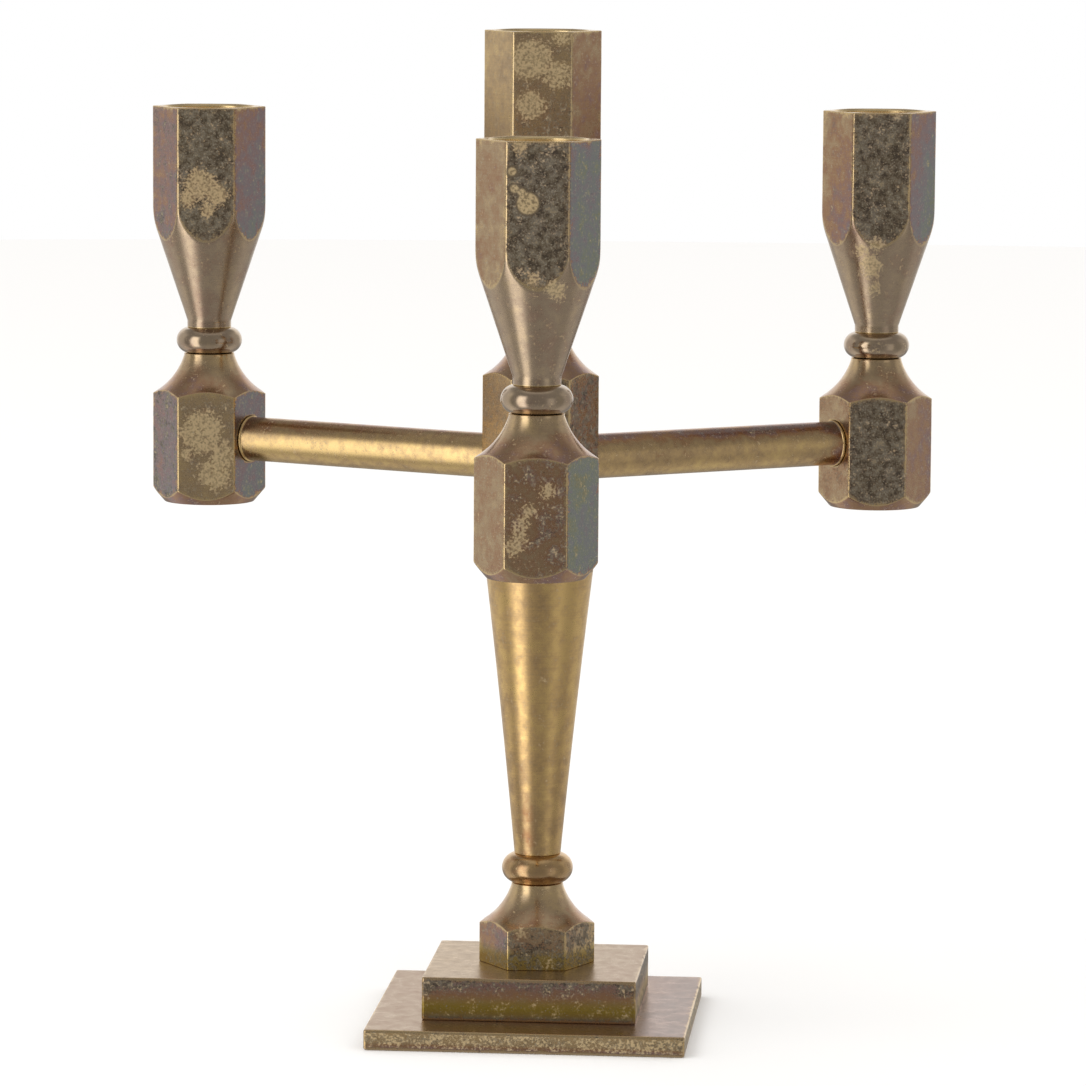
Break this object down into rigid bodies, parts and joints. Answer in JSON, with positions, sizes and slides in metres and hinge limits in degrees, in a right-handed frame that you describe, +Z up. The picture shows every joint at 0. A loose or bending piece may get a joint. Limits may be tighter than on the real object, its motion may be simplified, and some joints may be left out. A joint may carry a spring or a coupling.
{
  "type": "tabletop candelabra",
  "caption": "Free-standing candelabra with hexagonal candle cups on radial arms and a taller one at the centre, on a tapering stem and a stepped, nearly square base.",
  "frame": {"origin": "centre of the base's underside, on the stem's axis", "axes": "+Z up along the stem, -Y towards the front arm, +X to the right; the other two arms point 30 degrees behind +X and -X"},
  "size_m": [0.2146, 0.186, 0.2667],
  "materials": {
    "cup_brass": "aged brass, dark mottled patina on the flats, satin gold-brown on the turned cone, bright inside the mouth",
    "hex_bar_brass": "aged brass, dark speckled patina on the flats, copper-brown on the turned flares",
    "turned_brass": "aged brass, satin turned surface",
    "rod_brass": "aged drawn rod, warm gold to brown",
    "plate_brass": "aged brass, satin tan faces with iridescent stained edges",
    "stud_brass": "machined, bright, hidden in use",
    "screw_steel": "plain steel, slightly dull"
  },
  "bodies": {
    "frame": {"lower_base_plate": "plate_brass", "upper_base_plate": "plate_brass", "base_screw": "screw_steel", "foot": "hex_bar_brass", "base_bead": "turned_brass", "stem": "turned_brass", "hub_stud": "screw_steel", "hub": "hex_bar_brass", "arm_rod_front": "rod_brass", "arm_rod_right": "rod_brass", "arm_rod_left": "rod_brass", "holder_front": "hex_bar_brass", "holder_right": "hex_bar_brass", "holder_left": "hex_bar_brass", "stud_front": "stud_brass", "stud_right": "stud_brass", "stud_left": "stud_brass", "stud_center": "stud_brass"},
    "front_bead_ring": {"bead_front": "turned_brass"},
    "front_cup": {"cup_front": "cup_brass"},
    "right_bead_ring": {"bead_right": "turned_brass"},
    "right_cup": {"cup_right": "cup_brass"},
    "left_bead_ring": {"bead_left": "turned_brass"},
    "left_cup": {"cup_left": "cup_brass"},
    "center_bead_ring": {"bead_center": "turned_brass"},
    "center_cup": {"cup_center": "cup_brass"}
  },
  "joints": [
    {"name": "front_cup_lift", "type": "slide", "parent": "frame", "child": "front_bead_ring", "axis": [0, 0, 1], "range_m": [0, 0.0098]},
    {"name": "front_cup_turn", "type": "hinge", "parent": "front_bead_ring", "child": "front_cup", "pos_m": [0, -0.106, 0.1829], "axis": [0, 0, 1], "range_deg": [0, 3510]},
    {"name": "right_cup_lift", "type": "slide", "parent": "frame", "child": "right_bead_ring", "axis": [0, 0, 1], "range_m": [0, 0.0098]},
    {"name": "right_cup_turn", "type": "hinge", "parent": "right_bead_ring", "child": "right_cup", "pos_m": [0.0918, 0.053, 0.1829], "axis": [0, 0, 1], "range_deg": [0, 3510]},
    {"name": "left_cup_lift", "type": "slide", "parent": "frame", "child": "left_bead_ring", "axis": [0, 0, 1], "range_m": [0, 0.0098]},
    {"name": "left_cup_turn", "type": "hinge", "parent": "left_bead_ring", "child": "left_cup", "pos_m": [-0.0918, 0.053, 0.1829], "axis": [0, 0, 1], "range_deg": [0, 3510]},
    {"name": "center_cup_lift", "type": "slide", "parent": "frame", "child": "center_bead_ring", "axis": [0, 0, 1], "range_m": [0, 0.0098]},
    {"name": "center_cup_turn", "type": "hinge", "parent": "center_bead_ring", "child": "center_cup", "pos_m": [0, 0, 0.1934], "axis": [0, 0, 1], "range_deg": [0, 3510]}
  ],
  "couplings": [
    {"joint": "front_cup_lift", "follows": "front_cup_turn", "m_per_rad": 0.00015915},
    {"joint": "right_cup_lift", "follows": "right_cup_turn", "m_per_rad": 0.00015915},
    {"joint": "left_cup_lift", "follows": "left_cup_turn", "m_per_rad": 0.00015915},
    {"joint": "center_cup_lift", "follows": "center_cup_turn", "m_per_rad": 0.00015915}
  ]
}
